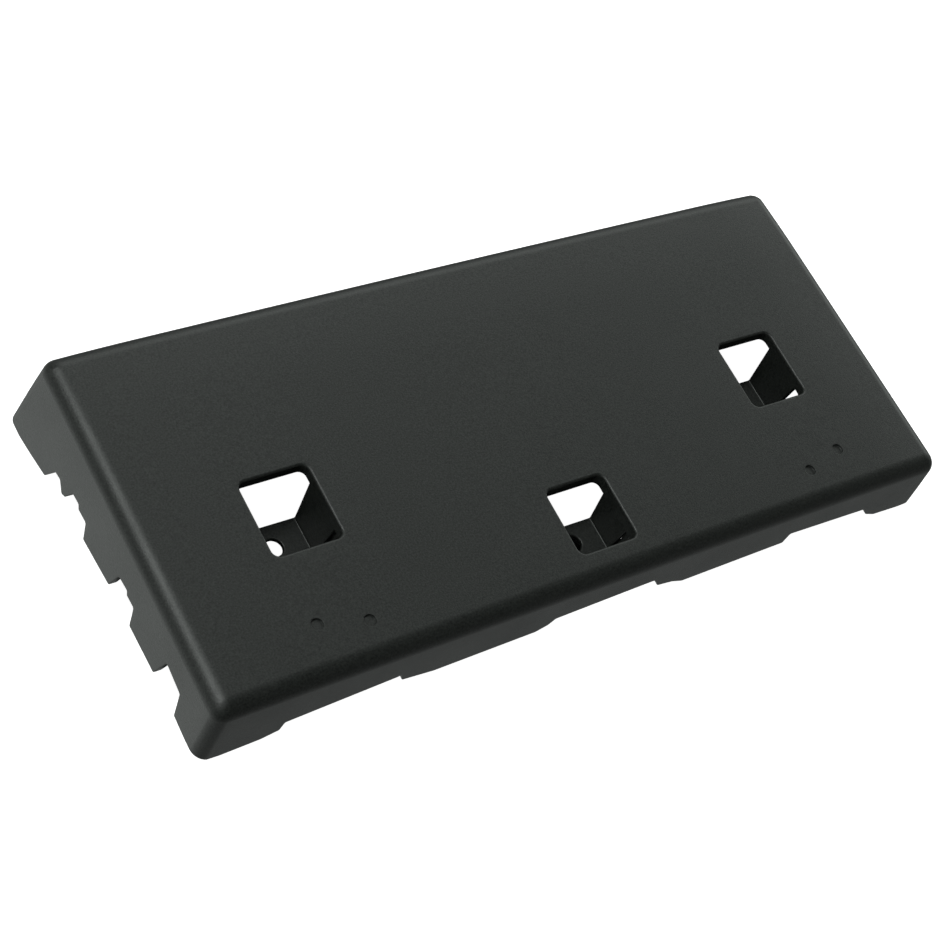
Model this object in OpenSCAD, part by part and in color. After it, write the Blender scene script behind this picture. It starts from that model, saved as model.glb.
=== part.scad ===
// Front licence plate bracket: one plastic moulding that bolts to a curved bumper.
// It lies face up, with +X along the face and +Y towards the edge with the deep skirt.
// Depths are measured from the front of the face, towards the bumper.

/* [Face] */
// Width of the face, over its rounded edges
face_w = 290.2; // [280:0.1:300]
// Height of the face, over its rounded edges
face_h = 125.4; // [120:0.1:130]
// Thickness of the moulded walls
wall = 2.8; // [2:0.1:3.2]
// Outside radius where the face turns into the skirt
edge_r = 6; // [5:0.5:6]
// Outside radius of the corners of the face, seen from the front
corner_r = 6.5; // [6.2:0.1:9]

/* [Skirt] */
// Outward flare of the skirt, in degrees
draft = 5; // [2:1:8]
// Depth of the tabs at the middle of the lower edge
lower_depth = 21.4; // [18:0.2:24]
// Depth of the tabs at the middle of the upper edge
upper_depth = 32.6; // [28:0.1:36]
// Radius of the bumper seen from above
plan_r = 2080; // [1500:10:4000]
// Radius of the bumper seen from the side
side_r = 417; // [350:1:900]
// How far the notches in the long skirts stand back from the tabs
long_notch = 5.6; // [4:0.2:7]
// How far the notches in the end skirts stand back from the tabs
end_notch = 7.6; // [5:0.2:9]
// How far the small nib near the upper corners stands back from the tabs
nib_back = 4.2; // [3:0.1:5]

/* [Bolt pockets] */
// Distance from the middle of the bracket to each side bolt
bolt_x = 95; // [85:1:100]
// Height of the middle of the side openings, from the middle of the face
side_open_y = -8.7; // [-12:0.1:0]
// Height of the middle of the centre opening, from the middle of the face
centre_open_y = -39.9; // [-41:0.1:-38]
// Width of the side openings
side_open_w = 24; // [22:0.5:26]
// Height of the side openings
side_open_h = 26.2; // [24:0.1:28]
// Width of the centre opening
centre_open_w = 23; // [22:0.5:26]
// Height of the centre opening
centre_open_h = 24; // [23:0.5:25]
// Corner radius of the openings
open_r = 2.5; // [1:0.5:4]
// Depth of the collar round each side opening
side_collar = 4.3; // [3:0.1:6]
// Depth of the collar round the centre opening
centre_collar = 5; // [3:0.1:6]
// Depth of the front of the side pads
side_pad_depth = 21.2; // [19:0.1:23]
// Depth of the front of the centre pad
centre_pad_depth = 17; // [15:0.1:18]
// Thickness of the pads
pad_t = 2.5; // [2:0.1:3]
// Thickness of the pocket walls
web = 2.2; // [1.8:0.1:2.6]
// Inward lean of the pocket walls, in degrees
web_lean = 3; // [1:0.5:4]
// How far the pads sit below the middle of their openings
pad_drop = 1; // [0:0.1:1.5]
// How far the bolt holes sit below the middle of their openings
bolt_drop = 1.5; // [0:0.1:2]
// Diameter of the bolt holes
bolt_d = 6; // [5:0.5:8]

/* [Plate marks] */
// Spacing of the inner pair of plate screw marks
inner_marks = 177.8; // [170:0.1:185]
// Spacing of the outer pair of plate screw marks
outer_marks = 209.8; // [205:0.1:215]
// Height of the inner pair above the lower edge
inner_mark_y = 13; // [11:0.1:14]
// Height of the outer pair above the lower edge
outer_mark_y = 17.1; // [15:0.1:18]
// Diameter of a mark
mark_d = 4; // [3:0.1:5]
// Depth of a mark
mark_depth = 0.8; // [0.5:0.1:1.2]

/* [Ribs] */
// Thickness of the ribs behind the face
rib_t = 2; // [1.6:0.1:2.5]
// Depth of the ribs that run along the face
rib_depth = 19; // [10:0.5:19.5]
// Depth of the ribs that run across it
cross_rib_depth = 14; // [10:0.5:16]
// Height of the rib between the side pockets, from the middle of the face
long_rib_y = -18.2; // [-18.3:0.1:-16]
// Height of the ribs beside the centre pocket, from the middle of the face
lower_rib_y = -48.3; // [-48.4:0.1:-47]
// Distance from the middle to each cross rib
cross_rib_x = 50; // [40:1:65]

/* [Hidden] */
$fn = 64;

black = [0.22, 0.23, 0.225];
grey = [0.16, 0.17, 0.17];

// Straight lengths of the rim between its corners
straight_w = face_w - 2 * corner_r;
straight_h = face_h - 2 * corner_r;
// Further down than any part of the skirt
deep = 60;
// Lengths of the end slopes of a tab, along its edge
steep = 1.6;
gentle = 10;
// Share of a tab's height that its steep end takes
steep_share = 0.6;
// Flats in the arc of the rounded edge
arc_steps = 17;
// Spacing of the points that follow the bumper's curve
pitch = 10;
// Half lengths of a pocket wall where it leaves the face and at its pad, over that of the opening
wall_inset = 4.3;
pad_inset = 6.2;

// The row's origin: midway between the side bolts, on the back of their pads
origin_y = side_open_y - bolt_drop;
origin_depth = side_pad_depth + pad_t;

function sag(offset, radius) = radius - sqrt(radius * radius - offset * offset);

// Depth of the bumper behind any point of the face
function seat_depth(x, y) =
    (lower_depth + upper_depth) / 2
    + (upper_depth - lower_depth) * y / face_h
    + sag(y, side_r) - sag(face_h / 2, side_r)
    + sag(x, plan_r);

// Depth of the tabs along each edge, as [place along the edge, depth]
lower_line = [for (x = [-150 : pitch : 150]) [x, seat_depth(x, -face_h / 2)]];
upper_line = [for (x = [-150 : pitch : 150]) [x, seat_depth(x, face_h / 2)]];
end_line = [for (y = [-80 : pitch : 80]) [y, seat_depth(face_w / 2, y)]];

// Tabs along the lower and upper edges, as [start, end, start slope, end slope]
long_tabs = [
    [-straight_w / 2, -118.5, 0, 6],
    [-79.5, -19, gentle, gentle],
    [19, 79.5, gentle, gentle],
    [118.5, straight_w / 2, 6, 0]
];
// Tabs along the left and right ends
end_tabs = [
    [-straight_h / 2, -47.5, 0, steep],
    [-36.7, -16.8, steep, steep],
    [-4.8, 14.6, steep, steep],
    [37, straight_h / 2, steep, 0]
];
// The nib beside each upper corner
nib = [26.5, 36.5];

// Places along an edge from a to b, with those of the line between them
function places(a, b, line) = concat([a], [for (p = line) if (p[0] > a && p[0] < b) p[0]], [b]);
// Points of a line, moved towards the face
function follow(a, b, line, back) = [for (s = places(a, b, line)) [s, back - lookup(s, line)]];
function reverse(list) = [for (i = [len(list) - 1 : -1 : 0]) list[i]];

// Moves a shape from the middle of the face's front to the row's frame
module place() {
    translate([0, -origin_y, origin_depth])
    children();
}

// Quarter arc of the rim's section, from the top down to the skirt: u outwards, v up
function rim_arc(r) = [
    for (a = [90 : -(90 - draft) / arc_steps : draft])
        [corner_r - edge_r + r * cos(a), r * sin(a) - edge_r]
];
// Where the flared line that leaves an arc reaches the deepest level
function flare_end(r) = [
    corner_r - edge_r + r * cos(draft) + (deep - edge_r + r * sin(draft)) * tan(draft),
    -deep
];

// Section of the rim, from the corner's centre outwards: rounded edge and flared skirt
module rim_section() {
    inner_r = edge_r - wall;
    polygon(concat(
        [[0, 0]],
        rim_arc(edge_r),
        [flare_end(edge_r), flare_end(inner_r)],
        reverse(rim_arc(inner_r)),
        [[0, -wall]]
    ));
}

// One straight side of the rim, turned by whole quarters from the right-hand side
module rim_side(quarter) {
    across = (quarter % 2 == 0) ? face_w / 2 - corner_r : face_h / 2 - corner_r;
    length = (quarter % 2 == 0) ? straight_h : straight_w;
    rotate([0, 0, 90 * quarter])
    translate([across, 0, 0])
    rotate([90, 0, 0])
    linear_extrude(length, center = true)
    rim_section();
}

// One rounded corner of the rim, uncut
module rim_corner(sx, sy) {
    turn = (sx > 0) ? ((sy > 0) ? 0 : 270) : ((sy > 0) ? 90 : 180);
    translate([sx * (face_w / 2 - corner_r), sy * (face_h / 2 - corner_r), 0])
    rotate([0, 0, turn])
    rotate_extrude(angle = 90)
    rim_section();
}

// A plate seen from the front edge: its outline is in X and Z
module from_edge(depth) {
    rotate([90, 0, 0])
    linear_extrude(depth, center = true)
    children();
}

// A plate seen from the end: its outline is in Y and Z
module from_end(width) {
    rotate([90, 0, 90])
    linear_extrude(width, center = true)
    children();
}

// Everything in front of a line that stands back from the tabs
module in_front(line, half, back) {
    polygon(concat(
        [[-half, wall], [half, wall]],
        reverse(follow(-half, half, line, back))
    ));
}

// One tab between the back of its band and the bumper
module tab(line, notch, a, b, slope_a, slope_b) {
    step_a = min(slope_a, steep);
    step_b = min(slope_b, steep);
    share_a = (slope_a > steep) ? steep_share : 1;
    share_b = (slope_b > steep) ? steep_share : 1;
    end_a = a + slope_a;
    end_b = b - slope_b;
    seat = [for (p = follow(end_a, end_b, line, 0)) if (p[0] > end_a && p[0] < end_b) p];
    low_a = [a + step_a, notch * (1 - share_a) - lookup(a + step_a, line)];
    low_b = [b - step_b, notch * (1 - share_b) - lookup(b - step_b, line)];
    polygon(concat(
        follow(a, b, line, notch),
        (slope_b > 0) ? [low_b] : [],
        (slope_b == steep) ? [] : [[end_b, -lookup(end_b, line)]],
        reverse(seat),
        (slope_a == steep) ? [] : [[end_a, -lookup(end_a, line)]],
        (slope_a > 0) ? [low_a] : []
    ));
}

// The band of a long skirt, without its tabs
module long_band(quarter, line) {
    intersection() {
        rim_side(quarter);
        translate([0, (quarter == 1 ? 1 : -1) * face_h / 2, 0])
        from_edge(deep)
        in_front(line, straight_w / 2, long_notch);
    }
}

// The tabs of a long skirt
module long_tab_row(quarter, line) {
    intersection() {
        rim_side(quarter);
        translate([0, (quarter == 1 ? 1 : -1) * face_h / 2, 0])
        from_edge(deep)
        for (t = long_tabs)
            tab(line, long_notch, t[0], t[1], t[2], t[3]);
    }
}

// The band of an end skirt, without its tabs
module end_band(quarter) {
    intersection() {
        rim_side(quarter);
        translate([(quarter == 0 ? 1 : -1) * face_w / 2, 0, 0])
        from_end(deep)
        in_front(end_line, straight_h / 2, end_notch);
    }
}

// Outline of the small nib
module nib_outline() {
    height = end_notch - nib_back;
    polygon(concat(
        follow(nib[0], nib[1], end_line, end_notch),
        [[nib[1] - steep / 2, nib_back - lookup(nib[1], end_line)]],
        [[nib[0] + steep, nib_back - height / 8 - lookup(nib[0] + steep, end_line)]]
    ));
}

// The tabs and the nib of an end skirt
module end_tab_row(quarter) {
    intersection() {
        rim_side(quarter);
        translate([(quarter == 0 ? 1 : -1) * face_w / 2, 0, 0])
        from_end(deep) {
            for (t = end_tabs)
                tab(end_line, end_notch, t[0], t[1], t[2], t[3]);
            nib_outline();
        }
    }
}

// A corner of the rim, cut to the bumper along both of its edges
module corner(sx, sy) {
    intersection() {
        rim_corner(sx, sy);
        translate([0, sy * face_h / 2, 0])
        from_edge(deep)
        in_front(sy > 0 ? upper_line : lower_line, 150, 0);
        translate([sx * face_w / 2, 0, 0])
        from_end(deep)
        in_front(end_line, 80, 0);
    }
}

// An oblong with round corners
module rounded(w, h, r) {
    square([w - 2 * r, h], center = true);
    square([w, h - 2 * r], center = true);
    for (sx = [-1, 1])
        for (sy = [-1, 1])
            translate([sx * (w / 2 - r), sy * (h / 2 - r)])
            circle(r);
}

// The two walls of a pocket, or its pad, from above the pad's back
module pocket_side_view(open_h, back) {
    top = open_h / 2 - wall_inset;
    bottom = open_h / 2 - pad_inset;
    polygon([
        [-top, -wall],
        [top, -wall],
        [bottom - pad_drop, -back],
        [-bottom - pad_drop, -back]
    ]);
}

// How far a pocket wall has leaned inwards at a depth
function lean_at(depth, collar) = (depth - collar) * tan(web_lean);

// A collar round an opening, and the two walls that hang from it
module pocket_walls(open_w, open_h, pad_depth, collar) {
    back = pad_depth + pad_t;
    lean = lean_at(back, collar);
    translate([0, 0, -collar])
    linear_extrude(collar - wall)
    difference() {
        rounded(open_w + 2 * web, open_h + 2 * web, open_r + web);
        rounded(open_w, open_h, open_r);
    }
    intersection() {
        from_edge(deep)
        for (side = [-1, 1])
            polygon([
                [side * open_w / 2, -wall],
                [side * (open_w / 2 + web), -wall],
                [side * (open_w / 2 + web), -collar],
                [side * (open_w / 2 + web - lean), -back],
                [side * (open_w / 2 - lean), -back],
                [side * open_w / 2, -collar]
            ]);
        from_end(deep)
        pocket_side_view(open_h, back);
    }
}

module pad(open_w, open_h, pad_depth, collar) {
    back = pad_depth + pad_t;
    front_half = open_w / 2 - lean_at(pad_depth, collar);
    back_half = open_w / 2 - lean_at(back, collar);
    difference() {
        intersection() {
            from_edge(deep)
            polygon([
                [-front_half, -pad_depth],
                [front_half, -pad_depth],
                [back_half, -back],
                [-back_half, -back]
            ]);
            from_end(deep)
            pocket_side_view(open_h, back);
        }
        translate([0, -bolt_drop, -back - 1])
        cylinder(d = bolt_d, h = pad_t + 2);
    }
}

// A rib along X between two collars, or between a collar and a cross rib
module rib_between(x0, x1) {
    from_edge(rib_t)
    polygon([
        [x0, -wall],
        [x1, -wall],
        [x1, -rib_depth],
        [x0, -rib_depth]
    ]);
}

module long_rib_solid() {
    reach = bolt_x - side_open_w / 2 - web;
    translate([0, long_rib_y, 0])
    rib_between(-reach, reach);
}

module face_panel() {
    color(black)
    place()
    difference() {
        translate([0, 0, -wall])
        linear_extrude(wall)
        difference() {
            square([straight_w, straight_h], center = true);
            for (side = [-1, 1])
                translate([side * bolt_x, side_open_y])
                rounded(side_open_w, side_open_h, open_r);
            translate([0, centre_open_y])
            rounded(centre_open_w, centre_open_h, open_r);
        }
        for (side = [-1, 1]) {
            translate([side * inner_marks / 2, inner_mark_y - face_h / 2, -mark_depth])
            cylinder(d = mark_d, h = wall);
            translate([side * outer_marks / 2, outer_mark_y - face_h / 2, -mark_depth])
            cylinder(d = mark_d, h = wall);
        }
    }
}

module lower_skirt() {
    color(black)
    place()
    long_band(3, lower_line);
}

module upper_skirt() {
    color(black)
    place()
    long_band(1, upper_line);
}

module left_skirt() {
    color(black)
    place()
    end_band(2);
}

module right_skirt() {
    color(black)
    place()
    end_band(0);
}

module lower_tabs() {
    color(black)
    place()
    long_tab_row(3, lower_line);
}

module upper_tabs() {
    color(black)
    place()
    long_tab_row(1, upper_line);
}

module left_tabs() {
    color(black)
    place()
    end_tab_row(2);
}

module right_tabs() {
    color(black)
    place()
    end_tab_row(0);
}

module lower_left_corner() {
    color(black)
    place()
    corner(-1, -1);
}

module lower_right_corner() {
    color(black)
    place()
    corner(1, -1);
}

module upper_left_corner() {
    color(black)
    place()
    corner(-1, 1);
}

module upper_right_corner() {
    color(black)
    place()
    corner(1, 1);
}

module left_pocket_walls() {
    color(grey)
    place()
    translate([-bolt_x, side_open_y, 0])
    pocket_walls(side_open_w, side_open_h, side_pad_depth, side_collar);
}

module centre_pocket_walls() {
    color(grey)
    place()
    translate([0, centre_open_y, 0])
    pocket_walls(centre_open_w, centre_open_h, centre_pad_depth, centre_collar);
}

module right_pocket_walls() {
    color(grey)
    place()
    translate([bolt_x, side_open_y, 0])
    pocket_walls(side_open_w, side_open_h, side_pad_depth, side_collar);
}

module left_pad() {
    color(grey)
    place()
    translate([-bolt_x, side_open_y, 0])
    pad(side_open_w, side_open_h, side_pad_depth, side_collar);
}

module centre_pad() {
    color(grey)
    place()
    translate([0, centre_open_y, 0])
    pad(centre_open_w, centre_open_h, centre_pad_depth, centre_collar);
}

module right_pad() {
    color(grey)
    place()
    translate([bolt_x, side_open_y, 0])
    pad(side_open_w, side_open_h, side_pad_depth, side_collar);
}

module long_rib() {
    color(grey)
    place()
    long_rib_solid();
}

module lower_ribs() {
    start = centre_open_w / 2 + web;
    color(grey)
    place()
    translate([0, lower_rib_y, 0]) {
        rib_between(start, cross_rib_x - rib_t / 2);
        rib_between(rib_t / 2 - cross_rib_x, -start);
    }
}

module cross_ribs() {
    color(grey)
    place()
    difference() {
        for (side = [-1, 1])
            translate([side * cross_rib_x, 0, -(cross_rib_depth + wall) / 2])
            cube([rib_t, face_h - wall, cross_rib_depth - wall], center = true);
        rim_side(1);
        rim_side(3);
        long_rib_solid();
    }
}

face_panel();
lower_skirt();
upper_skirt();
left_skirt();
right_skirt();
lower_tabs();
upper_tabs();
left_tabs();
right_tabs();
lower_left_corner();
lower_right_corner();
upper_left_corner();
upper_right_corner();
left_pocket_walls();
centre_pocket_walls();
right_pocket_walls();
left_pad();
centre_pad();
right_pad();
long_rib();
lower_ribs();
cross_ribs();
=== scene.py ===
import math

import bmesh
import bpy
import numpy as np
from mathutils import Matrix, Vector
from mathutils.geometry import delaunay_2d_cdt


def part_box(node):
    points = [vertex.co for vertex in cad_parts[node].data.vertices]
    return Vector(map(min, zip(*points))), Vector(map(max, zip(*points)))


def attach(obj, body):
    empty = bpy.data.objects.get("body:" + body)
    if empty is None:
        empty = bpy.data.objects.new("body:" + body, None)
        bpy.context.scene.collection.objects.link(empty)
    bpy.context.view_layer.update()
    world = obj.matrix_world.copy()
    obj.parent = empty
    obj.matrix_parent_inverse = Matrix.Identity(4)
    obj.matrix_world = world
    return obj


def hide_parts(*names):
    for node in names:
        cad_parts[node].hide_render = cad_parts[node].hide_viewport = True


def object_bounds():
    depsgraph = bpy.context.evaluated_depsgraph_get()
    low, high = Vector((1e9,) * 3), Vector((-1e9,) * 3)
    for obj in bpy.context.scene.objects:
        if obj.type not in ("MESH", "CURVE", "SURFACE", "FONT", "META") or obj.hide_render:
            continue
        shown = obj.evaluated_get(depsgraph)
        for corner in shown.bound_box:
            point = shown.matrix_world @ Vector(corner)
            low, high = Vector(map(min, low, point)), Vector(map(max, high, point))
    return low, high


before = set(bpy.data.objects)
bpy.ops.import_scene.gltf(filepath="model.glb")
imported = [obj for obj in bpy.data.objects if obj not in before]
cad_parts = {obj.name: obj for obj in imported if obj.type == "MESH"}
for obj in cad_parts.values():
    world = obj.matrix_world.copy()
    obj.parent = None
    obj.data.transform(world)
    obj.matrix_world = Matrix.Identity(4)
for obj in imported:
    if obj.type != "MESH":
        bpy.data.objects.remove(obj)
cad_low, cad_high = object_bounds()

# Front licence plate bracket: the moulded shell, its three bolt bridges and the ribs behind it.
# Shapes are worked out in millimetres as (x, y, depth): x and y from the middle of the face,
# depth from the front of the face towards the bumper. to_row() takes them to the row frame.

MM = 0.001
panel_low, panel_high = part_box("face_panel")
FACE_Y = (panel_low.y + panel_high.y) / 2 / MM
FRONT_Z = panel_high.z / MM
HALF_W = panel_high.x / MM
HALF_H = (panel_high.y - panel_low.y) / 2 / MM
PANEL = (panel_high.z - panel_low.z) / MM

# Rim: rounded edge, flared skirt and its back edge. The edge's round starts RIM_SET outside the
# face panel's box, and the skirt's flare starts WALL_START outside it.
EDGE_R = 6.0
RIM_SET = 0.5
CORNER_R = 5.0
DRAFT = math.radians(5)
INNER_R = EDGE_R - PANEL
WALL_START = RIM_SET + EDGE_R * math.cos(DRAFT)
BACK_BEVEL = 0.35
OUTLINE_R = 0.8
# A rounded bend of the back edge takes at most this share of each line beside it
BEND_SHARE = 0.45

# Steps round the edge and the corners, rows down the skirt as shares of its depth
ARC_STEPS = 14
CORNER_STEPS = 10
WALL_SHARES = (0.25, 0.5, 0.75)
BEVEL_STEPS = 3

# Spacing of points on long edges and flat fills, and how clear a fill's points stay of the edges,
# as a share of it. Points of a fill closer than SAME_POINT are one.
PITCH = 6.0
CLEAR_SHARE = 0.45
SAME_POINT = 1e-7
# Edges that bend more than this are sharp
SMOOTH_BELOW = math.radians(40)

# The face is slightly crowned: it drops towards its ends. The drop fades out by a depth of
# CROWN_FADE.
CROWN = 4.5e-5
CROWN_FADE = 20.0

# Near its left, right and upper edges the face rolls over a little before the rounded edge. This
# drop fades out in the same way.
ROLL_REACH = 24.0
ROLL_DROP = 0.5

# Back edge of the skirt as (place along the edge, depth): notches, steps and tabs
LOWER_OUTLINE = [
    (-138.6, 27.1), (-125.1, 26.2), (-119.2, 24.5), (-118.3, 20.6), (-80.4, 17.2), (-79.0, 16.8),
    (-77.7, 20.4), (-65.4, 22.1), (-27.0, 20.9), (-22.8, 19.0), (-20.8, 16.4), (17.9, 14.4),
    (19.1, 14.6), (22.1, 18.9), (28.9, 20.1), (34.3, 22.4), (79.3, 21.2), (80.2, 16.3),
    (116.8, 18.2), (120.5, 22.8), (125.7, 25.2), (138.6, 26.1),
]
END_OUTLINE = [
    (-56.2, 25.4), (-49.1, 24.9), (-46.6, 16.1), (-37.1, 15.0), (-34.9, 24.9), (-18.4, 25.6),
    (-16.3, 18.6), (-11.8, 18.9), (-11.0, 17.5), (-5.8, 18.2), (-4.0, 26.1), (13.3, 28.1),
    (15.6, 22.2), (20.5, 22.6), (21.6, 21.1), (25.5, 21.5), (27.8, 27.0), (29.6, 27.9),
    (32.8, 24.8), (35.8, 25.4), (39.3, 32.6), (49.4, 34.9), (56.2, 36.2),
]
# The upper edge has the lower one's outline, this much deeper
UPPER_DEEPER = 10.6

# Openings, their collars and the bolt bridges. A bridge is inset from the ends of its opening, by
# BRIDGE_INSET at the face and PAD_INSET at its pad, and its pad sits PAD_DROP lower.
LIP_R = 0.9
LIP_STEPS = 5
SIDE_OPENING = (24.0, 26.2)
CENTRE_OPENING = (23.0, 24.0)
SIDE_COLLAR = 4.3
CENTRE_COLLAR = 5.0
COLLAR_EDGE = 0.1
OPENING_R = 2.5
WEB = 2.2
WEB_LEAN = math.radians(3)
BRIDGE_INSET = 4.3
PAD_INSET = 6.2
PAD_DROP = 1.0
BRIDGE_EDGE = 0.4
BRIDGE_INNER_R = 0.45
BRIDGE_OUTER_R = 1.5
BRIDGE_BEND_POINTS = 7
# Where the walls of a bridge have their points, as shares of the way up from the bend
BRIDGE_SHARES = (0.33, 0.66)
BOLT_R = 3.0
BOLT_DROP = 1.5
BOLT_RIM = 0.5
BOLT_RELIEF = 1.4
BOLT_STEPS = 48
# How far a bridge reaches into the collar of its opening. A rib reaches half as far into the face.
TONGUE = 1.0
# Fillets at the roots of collars, bridges and ribs. A collar's fillet has one point between its
# ends, this share of the radius from its corner.
ROOT_R = 0.6
ROOT_BEND = 0.3
ROOT_POINTS = 5

# Blind marks for the plate's screws: distance from the middle and height above the face's middle
MARKS = [(88.9, -49.7), (104.9, -45.6)]
MARK_R = 2.0
MARK_DEPTH = 0.8
MARK_RIM = 0.15
MARK_FLOOR_R = 0.15
MARK_RIM_STEPS = 3

# Ribs: half thicknesses at the root and at the tip, and the share of the latter that the tip's
# round takes
RIB_TOP = 1.0
RIB_TIP = 0.75
TIP_ROUND = 0.6
TIP_POINTS = 4
# How far the long and the lower ribs are buried in the walls they meet
RIB_BURY = 1.1
# The cross ribs end this far outside the face panel's box, inside the thickness of the skirts
CROSS_END = EDGE_R - INNER_R / 4
RIB_STATIONS = 12


def face_drop(x, y, depth):
    """How far a point sinks with the crown of the face and with the roll at its edges."""
    fade = max(0.0, 1 - depth / CROWN_FADE)
    nearness = [1 - (HALF_W - abs(x)) / ROLL_REACH, 1 - (HALF_H - y) / ROLL_REACH]
    roll = sum(min(1.0, max(0.0, share)) ** 2 for share in nearness)
    return (CROWN * x * x + ROLL_DROP * roll) * fade * fade * (3 - 2 * fade)


def to_row(point):
    """A point from the face's millimetres to the row frame's metres."""
    x, y, depth = point
    return Vector((x * MM, (y + FACE_Y) * MM, (FRONT_Z - depth - face_drop(x, y, depth)) * MM))


class Solid:
    """A closed surface, gathered as rings of points that are joined one to the next."""

    def __init__(self):
        self.points = []
        self.faces = []

    def ring(self, points):
        """Adds a ring of points. Returns their numbers."""
        start = len(self.points)
        self.points.extend(points)
        return list(range(start, len(self.points)))

    def join(self, first, second, skip=()):
        """Joins two closed rings of as many points with quads, leaving out the sides in skip."""
        count = len(first)
        for i in range(count):
            if i not in skip:
                j = (i + 1) % count
                self.faces.append((first[i], first[j], second[j], second[i]))

    def join_all(self, rings):
        """Joins each ring to the next."""
        for first, second in zip(rings, rings[1:]):
            self.join(first, second)

    def cap(self, ring):
        """Closes a ring with one face."""
        self.faces.append(tuple(ring))

    def flat_fill(self, outer, holes, pitch):
        """Fills the flat region inside one ring and outside the others with even triangles."""
        depth = self.points[outer[0]][2]
        flat = {i: self.points[i][:2] for ring in [outer, *holes] for i in ring}
        for point in spare_points([self.plan(r) for r in [outer, *holes]], pitch):
            flat[len(self.points)] = tuple(point)
            self.points.append((*point, depth))
        names = list(flat)
        place = {name: k for k, name in enumerate(names)}
        edges = [
            (place[ring[i - 1]], place[ring[i]]) for ring in [outer, *holes] for i in range(len(ring))
        ]
        found = delaunay_2d_cdt([Vector(flat[n]) for n in names], edges, [], 0, SAME_POINT)
        corners = [names[origin[0]] for origin in found[3]]
        triangles = [tuple(corners[k] for k in face) for face in found[2]]
        middles = np.array([np.mean([flat[i] for i in t], axis=0) for t in triangles])
        keep = inside(middles, self.plan(outer))
        for hole in holes:
            keep &= ~inside(middles, self.plan(hole))
        self.faces.extend(t for t, wanted in zip(triangles, keep) if wanted)

    def plan(self, ring):
        """A ring's points seen from the front."""
        return np.array([self.points[i][:2] for i in ring])

    def build(self, name):
        """Makes the mesh object in the row frame, with its normals outwards and smooth shading."""
        mesh = bpy.data.meshes.new(name)
        mesh.from_pydata([to_row(p) for p in self.points], [], self.faces)
        edit = bmesh.new()
        edit.from_mesh(mesh)
        bmesh.ops.recalc_face_normals(edit, faces=edit.faces)
        edit.to_mesh(mesh)
        edit.free()
        mesh.shade_smooth()
        mesh.set_sharp_from_angle(angle=SMOOTH_BELOW)
        piece = bpy.data.objects.new(name, mesh)
        bpy.context.scene.collection.objects.link(piece)
        weighted = piece.modifiers.new("even_normals", "WEIGHTED_NORMAL")
        weighted.keep_sharp = True
        return piece


def inside(points, polygon):
    """Which points lie inside a closed polygon."""
    x, y = points[:, 0][:, None], points[:, 1][:, None]
    x0, y0 = polygon[:, 0], polygon[:, 1]
    x1, y1 = np.roll(x0, -1), np.roll(y0, -1)
    spans = (y0 > y) != (y1 > y)
    with np.errstate(divide="ignore", invalid="ignore"):
        crossing = x0 + (y - y0) * (x1 - x0) / (y1 - y0)
    return (np.sum(spans & (x < crossing), axis=1) % 2) == 1


def spare_points(rings, pitch):
    """Points of an even grid inside the first ring, clear of every ring and out of the others."""
    low, high = rings[0].min(0), rings[0].max(0)
    counts = np.maximum(1, np.round((high - low) / pitch)).astype(int)
    steps = [np.linspace(a, b, n + 1)[1:-1] for a, b, n in zip(low, high, counts)]
    grid = np.array([(x, y) for x in steps[0] for y in steps[1]]).reshape(-1, 2)
    if len(grid) == 0:
        return []
    keep = inside(grid, rings[0])
    for ring in rings[1:]:
        keep &= ~inside(grid, ring)
    for ring in rings:
        away = np.sqrt(((grid[:, None, :] - ring[None, :, :]) ** 2).sum(2)).min(1)
        keep &= away > CLEAR_SHARE * pitch
    return grid[keep]


# ---- Rim ----


def rounded_outline(corners, radius, steps=4):
    """The outline's points with its corners rounded, each with the direction square to it."""
    line = [np.array(corners[0], float)]
    for before, here, after in zip(corners, corners[1:], corners[2:]):
        a, b, c = (np.array(p, float) for p in (before, here, after))
        u, v = (a - b) / np.linalg.norm(a - b), (c - b) / np.linalg.norm(c - b)
        half_turn = (math.pi - math.acos(max(-1.0, min(1.0, float(u @ v))))) / 2
        reach = radius * math.tan(half_turn)
        longest = min(BEND_SHARE * np.linalg.norm(a - b), BEND_SHARE * np.linalg.norm(c - b))
        reach = min(reach, longest)
        for t in np.linspace(0, 1, steps + 1):
            start, end = b + u * reach, b + v * reach
            line.append((1 - t) ** 2 * start + 2 * t * (1 - t) * b + t * t * end)
    line.append(np.array(corners[-1], float))
    return with_normals(subdivide(line, PITCH))


def subdivide(line, pitch):
    """The line with points added, so that none are further apart than the pitch."""
    fine = [line[0]]
    for a, b in zip(line, line[1:]):
        parts = max(1, math.ceil(np.linalg.norm(b - a) / pitch))
        fine.extend(a + (b - a) * k / parts for k in range(1, parts + 1))
    return fine


def with_normals(line):
    """Each point of a line that runs along +s as (s, depth, normal s, normal depth)."""
    rows = []
    for i, (s, depth) in enumerate(line):
        before, after = line[max(0, i - 1)], line[min(len(line) - 1, i + 1)]
        along = (after - before) / np.linalg.norm(after - before)
        rows.append((s, depth, -along[1], along[0]))
    return rows


class Place:
    """A place round the rim: where it starts, which way is out, and its back edge."""

    def __init__(self, base, out, along, depth, square=(0.0, 1.0), diagonal=None):
        self.base, self.out, self.along = base, out, along
        self.depth, self.square = depth, square
        self.diagonal = diagonal or out

    def point(self, outward, depth, slide=0.0):
        """The corners keep one radius down the skirt, so their centre moves out along a diagonal."""
        radius = CORNER_R * min(1.0, outward / WALL_START)
        rest = outward - radius
        x, y = (
            self.base[k] + self.diagonal[k] * rest + self.out[k] * radius + self.along[k] * slide
            for k in (0, 1)
        )
        return (x, y, depth)


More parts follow.
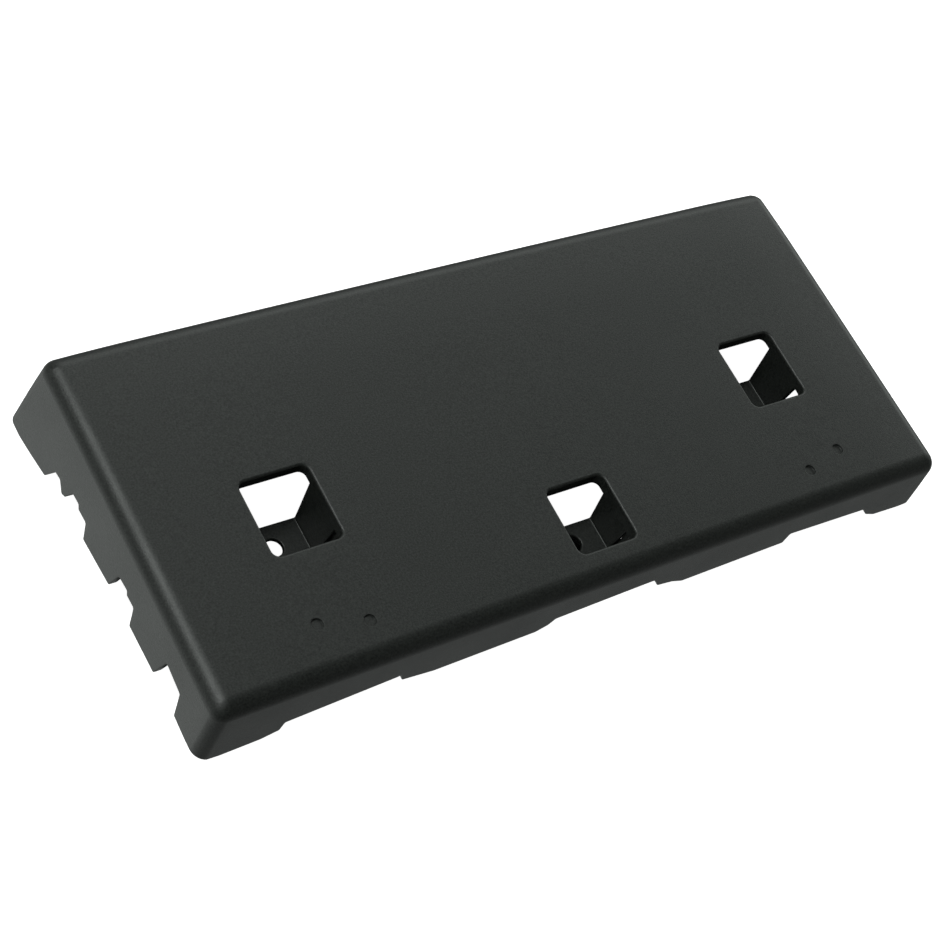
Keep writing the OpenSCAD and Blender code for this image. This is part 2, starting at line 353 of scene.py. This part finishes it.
def edge_places(outline, out, along, fixed):
    """Places along a straight edge. The outline's s runs along `along`."""
    places = []
    for s, depth, square_s, square_d in outline:
        base = (s * along[0] + fixed[0], s * along[1] + fixed[1])
        places.append(Place(base, out, along, depth, (square_s, square_d)))
    return places


def corner_places(centre, start, before, after, steps=CORNER_STEPS):
    """Places round a corner, strictly between the edges that it joins."""
    middle = start + math.pi / 4
    diagonal = tuple(math.copysign(1, turn(middle)) for turn in (math.cos, math.sin))
    places = []
    for k in range(1, steps):
        share = k / steps
        angle = start + share * math.pi / 2
        out = (math.cos(angle), math.sin(angle))
        depth = before.depth + (after.depth - before.depth) * share
        places.append(Place(centre, out, (-out[1], out[0]), depth, diagonal=diagonal))
    return places


def rim_places():
    """Every place round the rim, counter-clockwise from the lower left corner."""
    lower = rounded_outline(LOWER_OUTLINE, OUTLINE_R)
    upper = [(s, d + UPPER_DEEPER, ns, nd) for s, d, ns, nd in lower]
    end = rounded_outline(END_OUTLINE, OUTLINE_R)
    sides = [
        edge_places(lower, (0, -1), (1, 0), (0, -HALF_H)),
        edge_places(end, (1, 0), (0, 1), (HALF_W, 0)),
        edge_places(upper, (0, 1), (1, 0), (0, HALF_H))[::-1],
        edge_places(end, (-1, 0), (0, 1), (-HALF_W, 0))[::-1],
    ]
    centres = [(HALF_W, -HALF_H), (HALF_W, HALF_H), (-HALF_W, HALF_H), (-HALF_W, -HALF_H)]
    places = []
    for k, (side, centre) in enumerate(zip(sides, centres)):
        after = sides[(k + 1) % 4][0]
        places += side + corner_places(centre, (k - 1) * math.pi / 2, side[-1], after)
    return places


def flare(depth, radius):
    """How far out the skirt's surface stands at a depth, for the outer or the inner edge radius."""
    return (
        RIM_SET
        + radius * math.cos(DRAFT)
        + (depth - EDGE_R + radius * math.sin(DRAFT)) * math.tan(DRAFT)
    )


def arc_row(places, radius, angle):
    """A row of the rounded edge, at an angle above the level of its centre."""
    outward = RIM_SET + radius * math.cos(angle)
    return [p.point(outward, EDGE_R - radius * math.sin(angle)) for p in places]


def wall_row(places, radius, share):
    """A row part of the way from the rounded edge to where the back edge's bevel starts."""
    top = EDGE_R - radius * math.sin(DRAFT)
    row = []
    for p in places:
        square_s, square_d = p.square
        depth = top + (p.depth - BACK_BEVEL * square_d - top) * share
        row.append(p.point(flare(depth, radius), depth, -BACK_BEVEL * square_s * share))
    return row


def back_row(places, angle, inner):
    """A row of the rounded back edge, on its outer or its inner side."""
    across = BACK_BEVEL * (1 - math.cos(angle))
    if inner:
        across = PANEL - across
    back = BACK_BEVEL * (1 - math.sin(angle))
    row = []
    for p in places:
        square_s, square_d = p.square
        depth = p.depth - back * square_d
        outward = flare(depth, EDGE_R) - across / math.cos(DRAFT)
        row.append(p.point(outward, depth, -back * square_s))
    return row


def rim_rows(places):
    """Rows from the face, round the rim and back to the inside of the face."""
    arc = np.linspace(math.pi / 2, DRAFT, ARC_STEPS + 1)
    bevel = np.linspace(0, math.pi / 2, BEVEL_STEPS + 1)
    rows = [arc_row(places, EDGE_R, a) for a in arc]
    rows += [wall_row(places, EDGE_R, s) for s in WALL_SHARES]
    rows += [back_row(places, a, False) for a in bevel]
    rows += [back_row(places, a, True) for a in bevel[::-1]]
    rows += [wall_row(places, INNER_R, s) for s in WALL_SHARES[::-1]]
    rows += [arc_row(places, INNER_R, a) for a in arc[::-2]]
    return rows


# ---- Openings and marks in the face ----


def oblong_ring(centre, size, radius, corner_steps=8, side_steps=6):
    """Points round an oblong with round corners, each with the direction out of it."""
    ring = []
    half = (size[0] / 2 - radius, size[1] / 2 - radius)
    signs = [(1, -1), (1, 1), (-1, 1), (-1, -1)]
    for k, (sx, sy) in enumerate(signs):
        corner = np.array([centre[0] + sx * half[0], centre[1] + sy * half[1]])
        for step in range(corner_steps + 1):
            angle = (k - 1) * math.pi / 2 + step / corner_steps * math.pi / 2
            out = np.array([math.cos(angle), math.sin(angle)])
            ring.append((corner + radius * out, out))
        nx, ny = signs[(k + 1) % 4]
        target = np.array([centre[0] + nx * half[0], centre[1] + ny * half[1]])
        for step in range(1, side_steps):
            ring.append((corner + (target - corner) * step / side_steps + radius * out, out))
    return ring


def circle_ring(centre, radius, steps=32):
    """Points round a circle, each with the direction out of it."""
    ring = []
    for k in range(steps):
        out = np.array([math.cos(2 * math.pi * k / steps), math.sin(2 * math.pi * k / steps)])
        ring.append((np.array(centre) + radius * out, out))
    return ring


def grown(ring, by, depth):
    """A ring of points moved outwards, at a depth."""
    return [(*(point + out * by), depth) for point, out in ring]


def rounded_lip(solid, ring, depth, radius, towards=1, steps=LIP_STEPS):
    """Rings of a rounded lip, from the surface at a depth to the side of the hole."""
    rings = []
    for angle in np.linspace(0, math.pi / 2, steps + 1):
        level = depth + towards * radius * (1 - math.cos(angle))
        rings.append(solid.ring(grown(ring, radius * (1 - math.sin(angle)), level)))
    return rings


def cut_opening(solid, centre, size, collar):
    """One opening's rounded lip, sides and collar. Returns its rings on the front and the back."""
    ring = oblong_ring(centre, size, OPENING_R)
    rings = rounded_lip(solid, ring, 0.0, LIP_R)
    section = [
        (0.0, (LIP_R + collar) / 2),
        (0.0, collar - COLLAR_EDGE),
        (COLLAR_EDGE, collar),
        (WEB - BRIDGE_EDGE, collar),
        (WEB, collar - BRIDGE_EDGE),
        (WEB, PANEL + ROOT_R),
        (WEB + ROOT_R * ROOT_BEND, PANEL + ROOT_R * ROOT_BEND),
        (WEB + ROOT_R, PANEL),
    ]
    rings += [solid.ring(grown(ring, by, depth)) for by, depth in section]
    solid.join_all(rings)
    return rings[0], rings[-1]


def sink_mark(solid, centre):
    """One blind mark for a plate screw. Returns its ring on the front."""
    ring = circle_ring(centre, MARK_R)
    rings = rounded_lip(solid, ring, 0.0, MARK_RIM, steps=MARK_RIM_STEPS)
    rings.append(solid.ring(grown(ring, 0.0, MARK_DEPTH - MARK_FLOOR_R)))
    rings.append(solid.ring(grown(ring, -MARK_FLOOR_R, MARK_DEPTH)))
    solid.join_all(rings)
    solid.cap(rings[-1])
    return rings[0]


def openings():
    """The three openings as (name, centre, size, collar). The walls' boxes say where they are."""
    sizes = {
        "left": (SIDE_OPENING, SIDE_COLLAR),
        "centre": (CENTRE_OPENING, CENTRE_COLLAR),
        "right": (SIDE_OPENING, SIDE_COLLAR),
    }
    found = []
    for name, (size, collar) in sizes.items():
        low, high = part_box(name + "_pocket_walls")
        centre = ((low.x + high.x) / 2 / MM, (low.y + high.y) / 2 / MM - FACE_Y)
        found.append((name, centre, size, collar))
    return found


def make_shell():
    """Face, skirts, openings with their collars and marks, as one closed surface."""
    solid = Solid()
    rows = [solid.ring(row) for row in rim_rows(rim_places())]
    solid.join_all(rows)
    cuts = [cut_opening(solid, *cut) for _, *cut in openings()]
    marks = [sink_mark(solid, (side * x, y)) for side in (-1, 1) for x, y in MARKS]
    solid.flat_fill(rows[0], [front for front, _ in cuts] + marks, PITCH)
    solid.flat_fill(rows[-1], [back for _, back in cuts], PITCH)
    return solid.build("moulded_shell")


# ---- Bolt bridges ----


def bridge_path(half_w, collar, pad_front, pad_back):
    """Pairs of (x, depth) inside and outside the right half of a bridge, from its pad upwards."""
    lean = math.tan(WEB_LEAN)

    def wall_x(depth):
        """The inside of the leaning wall at a depth."""
        return half_w - (depth - collar) * lean

    def corner(radius, level, offset, angle):
        """A point of the bend between the wall, moved out by the offset, and the pad's surface."""
        centre_d = level - radius
        centre_x = wall_x(centre_d) + offset - radius / math.cos(WEB_LEAN)
        return (centre_x + radius * math.cos(angle), centre_d + radius * math.sin(angle))

    pairs = [
        (corner(BRIDGE_INNER_R, pad_front, 0, a), corner(BRIDGE_OUTER_R, pad_back, WEB, a))
        for a in np.linspace(math.pi / 2, WEB_LEAN, BRIDGE_BEND_POINTS)
    ]
    top = pairs[-1][0][1]
    for share in BRIDGE_SHARES:
        depth = top + (collar + ROOT_R - top) * share
        pairs.append(((wall_x(depth), depth), (wall_x(depth) + WEB, depth)))
    for angle in np.linspace(0, math.pi / 2, ROOT_POINTS):
        depth = collar - BRIDGE_EDGE + ROOT_R * (1 - math.sin(angle))
        pairs.append(((max(wall_x(depth), half_w), depth), (wall_x(collar) + WEB, depth)))
    tongue_x = half_w + TONGUE / 2
    tip = collar - TONGUE
    pairs.append(((tongue_x, tip), (tongue_x + WEB / 2, tip)))
    return pairs


def bridge_span(depth, half_h, pad_back):
    """Near and far limits of a bridge at a depth."""
    share = (depth - PANEL) / (pad_back - PANEL)
    half = half_h - BRIDGE_INSET + (BRIDGE_INSET - PAD_INSET) * share
    middle = -PAD_DROP * share
    return middle - half, middle + half


def bridge_loop(pair, half_h, pad_back, centre, steps=3):
    """The section of a bridge at one pair: an oblong with round corners, from the inner near one."""
    inner, outer = (np.array(p) for p in pair)
    thickness = np.linalg.norm(outer - inner)
    across = (outer - inner) / thickness
    edge = min(BRIDGE_EDGE, thickness / 3)
    angles = np.linspace(0, math.pi / 2, steps + 1)
    ins = [(edge * (1 - math.cos(a)), edge * (1 - math.sin(a))) for a in angles]
    corners = [(a, 0, b) for a, b in ins]
    corners += [(thickness - a, 0, b) for a, b in ins[::-1]]
    corners += [(thickness - a, 1, b) for a, b in ins]
    corners += [(a, 1, b) for a, b in ins[::-1]]
    loop = []
    for reach, far, back in corners:
        x, depth = inner + across * reach
        near_y, far_y = bridge_span(depth, half_h, pad_back)
        y = far_y - back if far else near_y + back
        loop.append((centre[0] + x, centre[1] + y, depth))
    return loop


def make_bridge(name, centre, size, collar):
    """One bridge: two walls that hang from the sides of an opening, and the pad between them."""
    low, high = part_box(name + "_pad")
    pad_front, pad_back = FRONT_Z - high.z / MM, FRONT_Z - low.z / MM
    half_h = size[1] / 2
    right = bridge_path(size[0] / 2, collar, pad_front, pad_back)
    left = [((-a[0], a[1]), (-b[0], b[1])) for a, b in right]
    solid = Solid()
    rings = [
        solid.ring(bridge_loop(pair, half_h, pad_back, centre)) for pair in left[::-1] + right
    ]
    split = len(left) - 1
    solid.cap(rings[0])
    solid.cap(rings[-1])
    solid.join_all(rings[: split + 1])
    solid.join_all(rings[split + 1 :])
    last, first = rings[split], rings[split + 1]
    side = len(last) // 2
    solid.join(last, first, skip=(side - 1, 2 * side - 1))
    hole = circle_ring((centre[0], centre[1] - BOLT_DROP), BOLT_R, steps=BOLT_STEPS)
    front = rounded_lip(solid, hole, pad_front, BOLT_RIM)
    back = rounded_lip(solid, hole, pad_back, BOLT_RELIEF, towards=-1)
    solid.join_all(front + back[::-1])
    pad_face = [last[0], first[0], first[-1], last[-1]]
    pad_rear = [last[side - 1], first[side - 1], first[side], last[side]]
    solid.flat_fill(pad_face, [front[0]], PITCH)
    solid.flat_fill(pad_rear, [back[0]], PITCH)
    return solid.build(name + "_bridge")


# ---- Ribs ----


def rib_section(reach):
    """Half widths of a rib at its levels, from inside the panel to its rounded tip."""
    root = [
        (RIB_TOP + ROOT_R * (1 - math.cos(a)), PANEL + ROOT_R * (1 - math.sin(a)))
        for a in np.linspace(math.pi / 2, 0, ROOT_POINTS)
    ]
    tip_r = RIB_TIP * TIP_ROUND
    tip = [
        (RIB_TIP - tip_r * (1 - math.cos(a)), reach - tip_r * (1 - math.sin(a)))
        for a in np.linspace(0, math.pi / 2, TIP_POINTS)
    ]
    return [(RIB_TOP, PANEL - TONGUE / 2)] + root + tip


def add_rib(solid, start, end, reach):
    """A straight rib between two points of the plan, with a fillet at its root."""
    start, end = np.array(start, float), np.array(end, float)
    along = (end - start) / np.linalg.norm(end - start)
    side = np.array([-along[1], along[0]])
    levels = rib_section(reach)
    rings = []
    for share in np.linspace(0, 1, RIB_STATIONS):
        middle = start + (end - start) * share
        right = [(*(middle + side * half), depth) for half, depth in levels]
        left = [(*(middle - side * half), depth) for half, depth in levels[::-1]]
        rings.append(solid.ring(right + left))
    solid.join_all(rings)
    solid.cap(rings[0])
    solid.cap(rings[-1])


def rib_node(name):
    """Half length along X, middle in Y and depth of a node of ribs, in the face's millimetres."""
    low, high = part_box(name)
    return high.x / MM, (low.y + high.y) / 2 / MM - FACE_Y, FRONT_Z - low.z / MM


def make_ribs():
    """The long rib, the lower ribs and the cross ribs, buried a little in what they meet."""
    long_x, long_y, long_reach = rib_node("long_rib")
    _, lower_y, lower_reach = rib_node("lower_ribs")
    cross_x, _, cross_reach = rib_node("cross_ribs")
    cross_x -= RIB_TOP
    long_x += RIB_BURY
    inner_x = CENTRE_OPENING[0] / 2 + WEB - RIB_BURY
    end_y = HALF_H + CROSS_END
    sides = (-1, 1)
    runs = {
        "long_rib": (long_reach, [((-long_x, long_y), (long_x, long_y))]),
        "lower_ribs": (
            lower_reach,
            [((side * inner_x, lower_y), (side * cross_x, lower_y)) for side in sides],
        ),
        "cross_ribs": (
            cross_reach,
            [((side * cross_x, -end_y), (side * cross_x, end_y)) for side in sides],
        ),
    }
    pieces = []
    for name, (reach, lines) in runs.items():
        solid = Solid()
        for start, end in lines:
            add_rib(solid, start, end, reach)
        piece = solid.build("back_" + name)
        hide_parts(name)
        pieces.append(piece)
    return pieces


# ---- Material ----

# The grain is fine noise in colour and height, the mottling is wide noise in roughness
GRAIN_SCALE = 1700
GRAIN_ROUGHNESS = 0.7
GRAIN_HEIGHT = 0.00007
MOTTLE_SCALE = 60
MOTTLE_ROUGHNESS = 0.5
NOISE_DETAIL = 4
# Noise values between these two run over the whole of a range
NOISE_RANGE = (0.3, 0.7)
GRAIN_COLOURS = [(0.003, 0.0036, 0.0032, 1), (0.034, 0.0375, 0.0345, 1)]
PLASTIC_ROUGHNESS = (0.29, 0.35)


def moulded_plastic():
    """Black textured plastic: a fine spark-eroded grain and a little mottling in its sheen."""
    material = bpy.data.materials.new("moulded_plastic")
    material.use_nodes = True
    nodes, links = material.node_tree.nodes, material.node_tree.links
    shader = nodes["Principled BSDF"]
    place = nodes.new("ShaderNodeTexCoord").outputs["Object"]

    def noise(scale, roughness):
        """Noise fixed to the piece, in cells per metre."""
        node = nodes.new("ShaderNodeTexNoise")
        node.inputs["Scale"].default_value = scale
        node.inputs["Detail"].default_value = NOISE_DETAIL
        node.inputs["Roughness"].default_value = roughness
        links.new(place, node.inputs["Vector"])
        return node.outputs["Fac"]

    def spread(source, low, high):
        """The noise's useful range, spread over the values from low to high."""
        node = nodes.new("ShaderNodeMapRange")
        node.inputs["From Min"].default_value, node.inputs["From Max"].default_value = NOISE_RANGE
        node.inputs["To Min"].default_value = low
        node.inputs["To Max"].default_value = high
        links.new(source, node.inputs["Value"])
        return node.outputs["Result"]

    grain = noise(GRAIN_SCALE, GRAIN_ROUGHNESS)
    mottle = noise(MOTTLE_SCALE, MOTTLE_ROUGHNESS)
    tint = nodes.new("ShaderNodeMix")
    tint.data_type = "RGBA"
    tint.inputs["A"].default_value, tint.inputs["B"].default_value = GRAIN_COLOURS
    links.new(spread(grain, 0, 1), tint.inputs["Factor"])
    links.new(tint.outputs["Result"], shader.inputs["Base Color"])
    links.new(spread(mottle, *PLASTIC_ROUGHNESS), shader.inputs["Roughness"])
    bump = nodes.new("ShaderNodeBump")
    bump.inputs["Strength"].default_value = 1.0
    bump.inputs["Distance"].default_value = GRAIN_HEIGHT
    links.new(grain, bump.inputs["Height"])
    links.new(bump.outputs["Normal"], shader.inputs["Normal"])
    return material


# ---- Camera, floor and light ----

CAMERA_AIM = (-31.8, -5.34, 23.7)
CAMERA_AZIMUTH = -58.386
CAMERA_ELEVATION = 51.509
CAMERA_ROLL = 34.821
CAMERA_DISTANCE = 632.32
CAMERA_LENS = 76.69
CAMERA_SENSOR = 36

# Half the size of the floor, in metres. It glows by itself, as plain white.
FLOOR_HALF = 6.0
FLOOR_COLOUR = (0.8, 0.8, 0.8, 1)
FLOOR_ROUGHNESS = 0.9
FLOOR_GLOW = (1, 1, 1, 1)

# Dark shade under the part, how far its sheets lie above the floor, in metres, and the two corners
# of the sheet in sight through the centre pocket, in the face's plan
SHADE_COLOUR = (0.012, 0.013, 0.013, 1)
SHADE_LIFT = 0.0003
CENTRE_SHADE = [(-26.0, -54.0), (26.0, -33.4)]

# Soft glows of the studio as (direction, tightness, strength). Tightness 0 is light from all round.
STUDIO_COLOUR = (0.95, 1.0, 0.97, 1)
GLOWS = [
    ((0, 0, 1), 0, 0.061),
    ((0.91, 0.33, 0.26), 20, 1.4),
    ((0.3, 0.75, 0.6), 12, 1.12),
    ((0.53, 0.7, 0.48), 20, 0.5),
    ((-0.47, 0.33, 0.82), 40, 5.2),
    ((-0.6, 0, 0.8), 8, 1.0),
    ((0.07, 0.33, 0.94), 20, 0.4),
    ((-0.66, 0.33, -0.68), 4, 0.9),
    ((0.53, -0.46, -0.71), 4, 0.21),
]


def direction(azimuth, elevation):
    """Unit vector from the object towards a viewer at that azimuth and elevation, in degrees."""
    a, e = math.radians(azimuth), math.radians(elevation)
    return Vector((math.sin(a) * math.cos(e), -math.cos(a) * math.cos(e), math.sin(e)))


def make_camera():
    """The photo's view: it looks down at the face, and is rolled about its line of sight."""
    camera = bpy.data.objects.new("camera", bpy.data.cameras.new("camera"))
    bpy.context.scene.collection.objects.link(camera)
    camera.data.lens = CAMERA_LENS
    camera.data.sensor_width = CAMERA_SENSOR
    back = direction(CAMERA_AZIMUTH, CAMERA_ELEVATION)
    level = Vector((0, 0, 1)).cross(back).normalized()
    roll = math.radians(CAMERA_ROLL)
    right = level * math.cos(roll) + back.cross(level) * math.sin(roll)
    up = back.cross(right)
    turn = Matrix((right, up, back)).transposed().to_4x4()
    camera.matrix_world = Matrix.Translation(
        Vector(CAMERA_AIM) * MM + back * CAMERA_DISTANCE * MM
    ) @ turn
    bpy.context.scene.camera = camera


def floor_sheet(name, low, high, lift):
    """A flat sheet at a lift above the leaning floor, which the skirt's four corners rest on.

    Its limits, in metres, are measured in its plane from the point under the CAD's far edge.
    """
    mesh = bpy.data.meshes.new(name)
    corners = [(low[0], low[1]), (high[0], low[1]), (high[0], high[1]), (low[0], high[1])]
    mesh.from_pydata([(x, y, lift) for x, y in corners], [], [(0, 1, 2, 3)])
    sheet = bpy.data.objects.new(name, mesh)
    bpy.context.scene.collection.objects.link(sheet)
    sheet.location = (0, cad_high.y, cad_low.z)
    sheet.rotation_euler = (-math.atan2(UPPER_DEEPER * MM, cad_high.y - cad_low.y), 0, 0)
    material = bpy.data.materials.new(name)
    material.use_nodes = True
    mesh.materials.append(material)
    return sheet, material.node_tree.nodes["Principled BSDF"].inputs


def make_floor():
    """A plain white floor. The glows below the horizon light the part in place of the floor."""
    floor, inputs = floor_sheet("floor", (-FLOOR_HALF, -FLOOR_HALF), (FLOOR_HALF, FLOOR_HALF), 0)
    inputs["Base Color"].default_value = FLOOR_COLOUR
    inputs["Roughness"].default_value = FLOOR_ROUGHNESS
    inputs["Emission Color"].default_value = FLOOR_GLOW
    inputs["Emission Strength"].default_value = 1.0
    for kind in ("diffuse", "glossy", "shadow"):
        setattr(floor, "visible_" + kind, False)


def make_shade():
    """The part's own shade: it keeps the glows below the horizon out of the hollow behind the face."""
    inset = EDGE_R * MM
    low = (cad_low.x + inset, cad_low.y - cad_high.y + inset)
    hollow, inputs = floor_sheet("hollow_shade", low, (-low[0], -inset), SHADE_LIFT)
    inputs["Base Color"].default_value = SHADE_COLOUR
    hollow.visible_camera = False
    near, far = ((x * MM, (y + FACE_Y) * MM - cad_high.y) for x, y in CENTRE_SHADE)
    _, inputs = floor_sheet("centre_shade", near, far, 2 * SHADE_LIFT)
    inputs["Base Color"].default_value = SHADE_COLOUR


def make_light():
    """A soft studio round the part: wide, smooth glows in the world, and no hard lamps."""
    scene = bpy.context.scene
    scene.view_settings.view_transform = "Standard"
    world = bpy.data.worlds.new("studio")
    scene.world = world
    world.use_nodes = True
    nodes, links = world.node_tree.nodes, world.node_tree.links
    towards = nodes.new("ShaderNodeTexCoord").outputs["Generated"]

    def math_node(operation, *values):
        """One sum on numbers or sockets."""
        node = nodes.new("ShaderNodeMath")
        node.operation = operation
        for socket, value in zip(node.inputs, values):
            if isinstance(value, (int, float)):
                socket.default_value = value
            else:
                links.new(value, socket)
        return node.outputs["Value"]

    total = None
    for aim, tightness, strength in GLOWS:
        dot = nodes.new("ShaderNodeVectorMath")
        dot.operation = "DOT_PRODUCT"
        dot.inputs[1].default_value = Vector(aim).normalized()
        links.new(towards, dot.inputs[0])
        falloff = math_node("MULTIPLY_ADD", dot.outputs["Value"], tightness, -tightness)
        glow = math_node("MULTIPLY", math_node("EXPONENT", falloff), strength)
        total = glow if total is None else math_node("ADD", total, glow)
    background = nodes["Background"]
    background.inputs["Color"].default_value = STUDIO_COLOUR
    links.new(total, background.inputs["Strength"])


def make_part():
    """Builds every piece, and hides the CAD nodes that it stands for."""
    shell = make_shell()
    sides = ["lower", "upper", "left", "right"]
    corners = [f"{v}_{h}_corner" for v in ("lower", "upper") for h in ("left", "right")]
    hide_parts("face_panel", *corners)
    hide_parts(*[s + "_skirt" for s in sides], *[s + "_tabs" for s in sides])
    pieces = [shell]
    for name, *cut in openings():
        bridge = make_bridge(name, *cut)
        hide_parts(name + "_pad", name + "_pocket_walls")
        pieces.append(bridge)
    pieces += make_ribs()
    plastic = moulded_plastic()
    for piece in pieces:
        piece.data.materials.append(plastic)
        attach(piece, "root")


make_camera()
make_part()
make_floor()
make_shade()
make_light()
